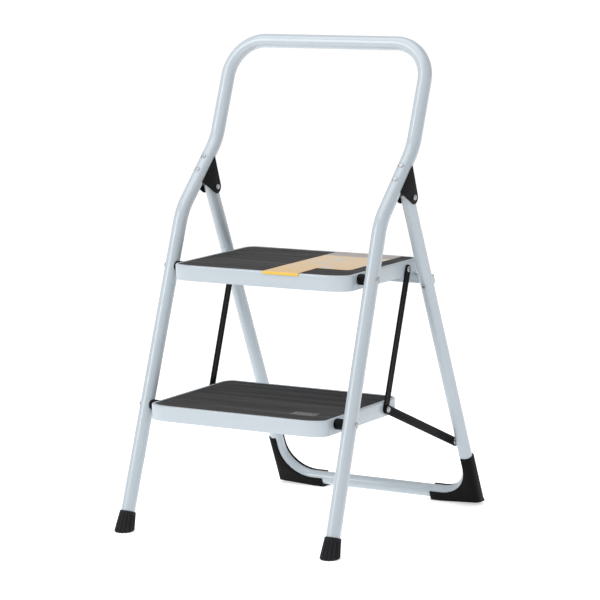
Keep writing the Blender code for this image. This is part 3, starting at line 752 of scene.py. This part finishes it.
def fluteTree():
    # presses grooves into the outside of a turned cup that stands on Z
    bench, given = newTree("footFlutes", {"Flutes": "NodeSocketInt", "Depth": "NodeSocketFloat",
                                          "From": "NodeSocketFloat", "To": "NodeSocketFloat",
                                          "Bore": "NodeSocketFloat", "Finish": "NodeSocketMaterial"})
    where = bench.node("GeometryNodeInputPosition")
    x, y, z = (bench.part(where, axis) for axis in range(3))
    angle = bench.node("ShaderNodeMath", {"operation": "ARCTAN2"}, {0: y, 1: x})
    wave = 0.5 - 0.5 * bench.node("ShaderNodeMath", {"operation": "COSINE"}, {0: angle * given["Flutes"]})
    groove = 1 - wave ** footSizes["fluteShape"]
    radius = bench.node("ShaderNodeMath", {"operation": "SQRT"}, {0: x * x + y * y})
    outer = radius > given["Bore"]
    fade = 1 - bench.node("ShaderNodeMapRange", {"interpolation_type": "SMOOTHSTEP"}, {
        "Value": z, "From Min": given["To"], "From Max": given["From"]})
    depth = given["Depth"] * groove * outer * fade
    shift = bench.node("ShaderNodeCombineXYZ", None, {"X": 0 - x / radius * depth,
                                                      "Y": 0 - y / radius * depth})
    moved = bench.node("GeometryNodeSetPosition", None, {"Geometry": given["Geometry"], "Offset": shift})
    return closeTree(bench, moved, given["Finish"])


footFlutes = fluteTree()


def turnedRings(profile, sides):
    return [[(radius * math.cos(2 * math.pi * k / sides), radius * math.sin(2 * math.pi * k / sides), z)
             for k in range(sides)] for radius, z in profile]


def footMesh(name, sideSign):
    s = footSizes
    bore = frontRadius + s["boreGap"]
    lean = math.radians(tubeSizes["frontLean"])
    splay = math.atan(tubeSizes["footSplay"] / tubeSizes["lowerKnee"])
    place = (Matrix.Translation((sideSign * legX(0), footLine, 0))
             @ Matrix.Rotation(-sideSign * splay, 4, "Y") @ Matrix.Rotation(-lean, 4, "X"))
    lip = s["boreLip"]
    profile = [(s["seatRadius"], s["seat"]), (bore, s["seat"]), (bore, s["top"] - lip),
               (bore + lip, s["top"]),
               (s["topRadius"] - 0.0006, s["top"]), (s["topRadius"] - 0.0001, s["top"] - 0.0005)]
    rings = turnedRings(profile, s["sides"])
    flare = (s["soleRadius"] - s["topRadius"]) / (s["top"] + s["below"])
    # how far down the wall each ring lies, closer together near its ends
    shares = [0.05, 0.09, 0.14, 0.2, 0.3, 0.4, 0.5, 0.6, 0.7, 0.78, 0.84, 0.88, 0.92, 0.95, 0.975, 0.99, 1.0]
    walls = [[] for share in shares]
    for k in range(s["sides"]):
        turn = 2 * math.pi * k / s["sides"]
        way = Vector((math.cos(turn), math.sin(turn), 0))
        start = place @ (way * s["topRadius"] + Vector((0, 0, s["top"])))
        down = place.to_3x3() @ (way * flare - Vector((0, 0, 1)))
        length = start.z / -down.z
        for wall, share in zip(walls, shares):
            # the wall ends level with the floor, its last few millimetres rounded in
            height = start.z * (1 - share)
            spare = max(0.0, s["soleRound"] - height)
            tuck = s["soleRound"] - math.sqrt(s["soleRound"] ** 2 - spare ** 2)
            reach = length * share
            wall.append(way * (s["topRadius"] + flare * reach - tuck) + Vector((0, 0, s["top"] - reach)))
    cup = lofted(name, rings + walls)
    mesh = grow(name, cup, footFlutes, {
        "Flutes": s["flutes"], "Depth": s["fluteDepth"], "From": s["top"] - s["fluteStart"],
        "To": s["top"] - s["fluteFull"], "Bore": bore + s["boreWall"], "Finish": rubber})
    mesh.transform(place)
    for vertex in mesh.vertices:
        vertex.co.z = max(0.0, vertex.co.z)
    outward(mesh)
    return mesh


for side, sideSign in (("Left", -1), ("Right", 1)):
    addPiece("frontFoot" + side, footMesh("frontFoot" + side, sideSign), "front_frame",
             ["front_foot_" + side.lower()], None)
print("front feet fluted")


# parts whose edges are only softened

# body, width of the rounding, finish and slot
softEdges = {
    "hinge_bracket": ("front_frame", 0.0006, plastic, "black_bracket_plastic"),
    "upper_link": ("upper_links", 0.0005, steel, "black_painted_steel"),
    "lower_link": ("lower_links", 0.0005, steel, "black_painted_steel"),
    "rear_shoe": ("rear_frame", 0.0010, plastic, "black_bracket_plastic"),
    "rear_tube_plug": ("rear_frame", 0.0004, plastic, "black_bracket_plastic"),
    "rear_cross_bar": ("rear_frame", 0.0012, paint, "pale_painted_steel"),
}


def softened(node, width):
    # a copy of a part with its flat faces joined up and its edges rounded
    mesh = frame["nodes"][node].data.copy()
    work = bmesh.new()
    work.from_mesh(mesh)
    bmesh.ops.remove_doubles(work, verts=work.verts, dist=weldDistances["copied"])
    bmesh.ops.dissolve_limit(work, angle_limit=math.radians(0.6), verts=work.verts, edges=work.edges)
    work.to_mesh(mesh)
    work.free()
    thing = loose(node + "Copy", mesh)
    edge = thing.modifiers.new("softEdge", "BEVEL")
    edge.width = width
    edge.segments = 3
    edge.limit_method = "ANGLE"
    edge.angle_limit = math.radians(34)    # flatter meetings stay as they are
    edge.use_clamp_overlap = True
    return baked(thing)


def camel(name):
    words = name.split("_")
    return words[0] + "".join(word.capitalize() for word in words[1:])


for stem, (body, width, finish, slotName) in softEdges.items():
    for node in [n for n in frame["nodes"] if n == stem or n.startswith(stem + "_") and "pin" not in n]:
        addPiece(camel(node), softened(node, width), body, [node], finish, 40)
print("brackets, links, shoes and bar softened")


# spacers

spacerSizes = {
    "radius": 0.0095,
    "sides": 40,
    "chamfer": 0.0009,
    "smallChamfer": 0.0003,  # on the end against the leg
    "intoLeg": 0.0025,
}

for level in ("upper", "lower"):
    pivot = Vector(foldJoints[level + "_tread_fold"]["pos_m"])
    for side, sideSign in (("Left", -1), ("Right", 1)):
        s = spacerSizes
        near = treadSizes["width"] / 2 + treadSizes["gap"]
        far = legX(pivot.z) - frontRadius + s["intoLeg"]
        profile = [(s["radius"] - s["chamfer"], near), (s["radius"], near + s["chamfer"]),
                   (s["radius"], far - s["smallChamfer"]), (s["radius"] - s["smallChamfer"], far)]
        spool = lofted("spacer", turnedRings(profile, s["sides"]))
        spool.transform(Matrix.Translation(pivot) @ Matrix.Rotation(math.radians(90 * sideSign), 4, "Y"))
        outward(spool)
        addPiece(level + "Spacer" + side, spool, "front_frame",
                 ["pivot_spacer_%s_%s" % (level, side.lower())], plastic)
print("spacers turned")


# pins and rivets

rivetSizes = {
    "shank": 0.0039,
    "thinShank": 0.0027,
    "sides": 24,
    "domeRise": 0.42,        # height of a head against its radius
    "domeShare": 0.72,       # of that height, the rounded part
}


def rivetTree():
    # on every point: a shank along "axisWay" with a domed head at each end
    bench, given = newTree("rivetRow", {"Head": "NodeSocketObject", "Finish": "NodeSocketMaterial"})
    dome = bench.node("GeometryNodeObjectInfo", None, {"Object": given["Head"]}, "Geometry")
    way, half, head, shank = (
        bench.node("GeometryNodeInputNamedAttribute", {"data_type": kind}, {"Name": title})
        for title, kind in (("axisWay", "FLOAT_VECTOR"), ("halfSpan", "FLOAT"), ("headRadius", "FLOAT"),
                            ("shankRadius", "FLOAT")))
    parts = []
    for sign in (1.0, -1.0):
        facing = bench.node("ShaderNodeVectorMath", {"operation": "SCALE"}, {0: way, 3: sign})
        turn = bench.node("FunctionNodeAlignRotationToVector", {"axis": "Z"}, {"Vector": facing})
        offset = bench.node("ShaderNodeVectorMath", {"operation": "SCALE"}, {0: facing, 3: half})
        ends = bench.node("GeometryNodeSetPosition", None, {"Geometry": given["Geometry"], "Offset": offset})
        size = bench.node("ShaderNodeCombineXYZ", None, {"X": head, "Y": head, "Z": head})
        parts.append(bench.node("GeometryNodeInstanceOnPoints", None, {
            "Points": ends, "Instance": dome, "Rotation": turn, "Scale": size}))
    turn = bench.node("FunctionNodeAlignRotationToVector", {"axis": "Z"}, {"Vector": way})
    rod = bench.node("GeometryNodeMeshCylinder", None, {"Vertices": rivetSizes["sides"], "Radius": 1.0,
                                                        "Depth": 2.0})
    size = bench.node("ShaderNodeCombineXYZ", None, {"X": shank, "Y": shank, "Z": half})
    parts.append(bench.node("GeometryNodeInstanceOnPoints", None, {
        "Points": given["Geometry"], "Instance": rod, "Rotation": turn, "Scale": size}))
    joined = bench.tree.nodes.new("GeometryNodeJoinGeometry")
    for part in parts:
        bench.tree.links.new(part.socket, joined.inputs[0])
    return closeTree(bench, Plug(bench, joined.outputs[0]), given["Finish"])


def domeMesh():
    # a head of radius 1, with its outermost point on z = 0
    rise = rivetSizes["domeRise"]
    domed = rise * rivetSizes["domeShare"]
    profile = [(1.0, -rise), (1.0, -domed)]
    for angle in range(20, 86, 13):
        turn = math.radians(angle)
        profile.append((math.cos(turn), -domed * (1 - math.sin(turn))))
    profile.append((0.08, 0.0))
    mesh = lofted("domeHead", turnedRings(profile, rivetSizes["sides"]))
    outward(mesh)
    return mesh


def rivetSpan(node, way, headRadius):
    # middle and half length of a pin from its box, along its direction
    low, high = (Vector(corner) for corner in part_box(node))
    middle = (low + high) / 2
    reach = max(range(3), key=lambda i: abs(way[i]))
    spare = headRadius * math.sqrt(max(0.0, 1 - way[reach] ** 2))
    return middle, ((high - low)[reach] / 2 - spare) / abs(way[reach])


middleLean, rearLean = math.radians(tubeSizes["middleLean"]), math.radians(tubeSizes["rearLean"])
alongX = Vector((1, 0, 0))
runBack = Vector((0, math.cos(middleLean), -math.sin(middleLean)))
legBack = Vector((0, math.cos(rearLean), math.sin(rearLean)))
thick, thin = rivetSizes["shank"], rivetSizes["thinShank"]
# body, direction, radius of the head and of the shank
rivetKinds = {
    "step_pin": ("front_frame", alongX, 0.0062, thick),
    "hinge_pin": ("front_frame", alongX, 0.0050, thick),
    "bracket_rivet": ("front_frame", runBack, 0.0050, thin),
    "upper_link_pin": ("upper_tread", alongX, 0.0055, thick),
    "lower_link_pin": ("lower_tread", alongX, 0.0055, thick),
    "rear_link_stud": ("lower_links", alongX, 0.0062, thick),
    "cross_bar_rivet": ("rear_frame", legBack, 0.0050, thin),
}
rivetRow = rivetTree()
headThing = loose("rivetHead", domeMesh())
rivetBodies = {}
for node in sorted(frame["nodes"]):
    for stem, (body, way, headRadius, shankRadius) in rivetKinds.items():
        if node.startswith(stem):
            middle, halfSpan = rivetSpan(node, way, headRadius)
            rivetBodies.setdefault(body, []).append((node, middle, way, halfSpan, headRadius, shankRadius))

for body, rows in rivetBodies.items():
    mesh = bpy.data.meshes.new("rivetPoints")
    mesh.from_pydata([row[1] for row in rows], [], [])
    for title, kind, column in (("axisWay", "FLOAT_VECTOR", 2), ("halfSpan", "FLOAT", 3),
                                ("headRadius", "FLOAT", 4), ("shankRadius", "FLOAT", 5)):
        attribute = mesh.attributes.new(title, kind, "POINT")
        for item, row in zip(attribute.data, rows):
            if kind == "FLOAT":
                item.value = row[column]
            else:
                item.vector = row[column]
    made = grow("rivetPoints", mesh, rivetRow, {"Head": headThing, "Finish": zinc})
    addPiece(camel(body) + "Rivets", made, body, [row[0] for row in rows], None, 60)
bpy.data.objects.remove(headThing, do_unlink=True)
print("rivets set")


# card on the upper tread

cardSizes = {
    "left": 0.0145,
    "foldRight": 0.0870,
    "notchLeft": 0.0840,
    "right": 0.1500,
    "notchBack": 0.0210,
    "filmFrom": 0.1640,
    "back": 0.2100,
    "foldDown": 0.0050,
    "corner": 0.010,
    "thickness": 0.00035,
    "step": 0.006,
    "fineStep": 0.0012,      # round the corner of the notch
    "foldBend": 0.0007,
    "foldAhead": 0.0004,     # between the tray's front and the fold
    "cardLift": 0.00035,
    "filmLift": 0.00030,
    "ripple": 0.00022,
}


def cardRight(v):
    # right-hand edge of the card at a distance behind the tread's pivot line
    c = cardSizes
    front = -treadSizes["ahead"]
    if v < c["notchBack"]:
        share = (v - front) / (c["notchBack"] - front)
        return c["foldRight"] + (c["notchLeft"] - c["foldRight"]) * share
    if v < c["notchBack"] + c["corner"]:
        turn = 1 - (v - c["notchBack"]) / c["corner"]
        return c["right"] - c["corner"] * (1 - math.sqrt(1 - turn * turn))
    return c["right"]


def sheetMesh(name, stations, columns, place):
    # stations are (v for the edge, y, z, distance along the sheet)
    c = cardSizes
    mesh = bpy.data.meshes.new(name)
    work = bmesh.new()
    layer = work.loops.layers.uv.new("UVMap")
    rows = []
    for v, y, z, along in stations:
        right = cardRight(v)
        row = []
        for k in range(columns + 1):
            x = c["left"] + (right - c["left"]) * k / columns
            wave = math.sin(x * 95 + y * 31) * math.sin(y * 47 - x * 18) + 1
            lift = c["ripple"] * wave if y > -0.03 else 0.0    # flat near the fold
            row.append((work.verts.new(place @ Vector((x, y, z + lift))), (x - c["left"], along)))
        rows.append(row)
    for low, high in zip(rows, rows[1:]):
        for k in range(columns):
            face = work.faces.new([low[k][0], low[k + 1][0], high[k + 1][0], high[k][0]])
            for loop, corner in zip(face.loops, (low[k], low[k + 1], high[k + 1], high[k])):
                loop[layer].uv = corner[1]
    work.to_mesh(mesh)
    work.free()
    thing = loose(name, mesh)
    wall = thing.modifiers.new("thickness", "SOLIDIFY")
    wall.thickness = c["thickness"]
    wall.offset = 1
    return baked(thing)


def cardStations():
    c = cardSizes
    top = treadSizes["top"] + c["cardLift"]
    front = -treadSizes["ahead"] - c["foldAhead"]
    face = front - c["foldAhead"]
    bend = c["foldBend"]
    stations = [(front, face, top - c["foldDown"] * share, -c["foldDown"] * share - c["foldAhead"])
                for share in (1.0, 0.6, 0.3)]
    for angle in (0, 30, 60, 90):
        turn = math.radians(angle)
        stations.append((front, face + bend * (1 - math.cos(turn)), top - bend + bend * math.sin(turn),
                         bend * turn))
    notchSides = (c["notchBack"] - 0.0002, c["notchBack"] + 0.0002)
    y = front + 0.002
    while y < c["filmFrom"]:
        stations.append((y, y, top, y - front + 0.001))
        near = [edge for edge in notchSides if y < edge < y + c["step"]]
        if near:
            y = near[0]
        elif c["notchBack"] < y < c["notchBack"] + c["corner"]:
            y += c["fineStep"]
        else:
            y += c["step"]
    stations.append((c["filmFrom"], c["filmFrom"], top, c["filmFrom"] - front))
    return stations


def filmStations():
    c = cardSizes
    top = treadSizes["top"] + c["filmLift"]
    rows = [c["filmFrom"] + (c["back"] - c["filmFrom"]) * k / 8 for k in range(9)]
    return [(y, y, top, y) for y in rows]


for name, stations, nodes, finish in (("cardSleeve", cardStations(), ["tread_card"], card),
                                      ("cardFilm", filmStations(), [], film)):
    addPiece(name, sheetMesh(name, stations, 30, treadPlaces["upper"]), "upper_tread", nodes, finish,
             50)
print("card laid on the upper tread")


# floor, light and camera

studio = {
    "floorColour": (0.93, 0.935, 0.94),
    "floorLight": (0.96, 0.96, 0.965),
    "glow": 0.53,        # soft light from all round
    "floorGlow": 0.55,   # keeps the far floor pale
    "backdrop": 1.0,
    "keyPower": 31.0,
    "fillPower": 3.0,
    "topPower": 30.0,
    "floorHalf": 40.0,
    "floorDrop": 0.0004,
}


def floorFinish():
    f = Finish("paleStudioFloor", {"Roughness": 0.8, "Emission Color": (1.0, 1.0, 1.0, 1.0),
                                    "Emission Strength": studio["floorGlow"]})
    cloud = f.noise(f.place, 1.2, 3.0)
    f.wire("Base Color", f.blend(cloud, studio["floorColour"], studio["floorLight"]))
    return f.material


floorMesh = bpy.data.meshes.new("studioFloor")
floorCorners = [(x * studio["floorHalf"], y * studio["floorHalf"], -studio["floorDrop"])
                for x, y in ((-1, -1), (1, -1), (1, 1), (-1, 1))]
floorMesh.from_pydata(floorCorners, [], [(0, 1, 2, 3)])
floorMesh.materials.append(floorFinish())
loose("studioFloor", floorMesh)

scene = bpy.context.scene
world = bpy.data.worlds.new("softStudio")
world.use_nodes = True
sky = Bench(world.node_tree)
rays = sky.node("ShaderNodeLightPath")
glow, backdrop = (sky.node("ShaderNodeBackground", None, {"Color": colour, "Strength": studio[key]})
                  for colour, key in (((0.98, 0.99, 1.0, 1.0), "glow"), ((1.0, 1.0, 1.0, 1.0), "backdrop")))
both = sky.node("ShaderNodeMixShader", None, {0: rays, 1: glow, 2: backdrop})
world.node_tree.links.new(both.socket, world.node_tree.nodes["World Output"].inputs["Surface"])
scene.world = world
scene.view_settings.view_transform = "Standard"


def softBox(name, place, aim, size, power):
    # a rectangular light at a place, turned to face the aim
    light = bpy.data.lights.new(name, "AREA")
    light.shape = "RECTANGLE"
    light.size, light.size_y = size
    light.energy = power
    lamp = bpy.data.objects.new(name, light)
    lamp.location = place
    lamp.rotation_euler = (Vector(aim) - Vector(place)).to_track_quat("-Z", "Y").to_euler()
    scene.collection.objects.link(lamp)


softBox("keyBox", (-1.6, -2.6, 1.9), (0, 0, 0.45), (1.3, 1.8), studio["keyPower"])
softBox("fillBox", (2.8, -1.2, 1.0), (0, 0, 0.4), (1.0, 1.8), studio["fillPower"])
softBox("topBox", (-0.3, -0.5, 2.8), (0, 0, 0.0), (2.2, 2.2), studio["topPower"])

cameraView = {
    "place": (2.551830, -4.148649, 1.035610),
    "azimuth": 31.7064,
    "elevation": 7.4985,
    "roll": -0.1210,
    "lens": 165.4292,
}


def aimCamera():
    # stands where cameraView says, looking back along its two angles
    around, above, roll = (math.radians(cameraView[key]) for key in ("azimuth", "elevation", "roll"))
    back = Vector((math.sin(around) * math.cos(above), -math.cos(around) * math.cos(above), math.sin(above)))
    right = Vector((math.cos(around), math.sin(around), 0))
    up = back.cross(right)
    x = right * math.cos(roll) + up * math.sin(roll)
    y = up * math.cos(roll) - right * math.sin(roll)
    lens = bpy.data.cameras.new("studioCamera")
    lens.sensor_width = 36
    lens.lens = cameraView["lens"]
    view = bpy.data.objects.new("studioCamera", lens)
    scene.collection.objects.link(view)
    turn = Matrix((x, y, back)).transposed().to_4x4()
    view.matrix_world = Matrix.Translation(cameraView["place"]) @ turn
    scene.camera = view


aimCamera()
print("studio lit")
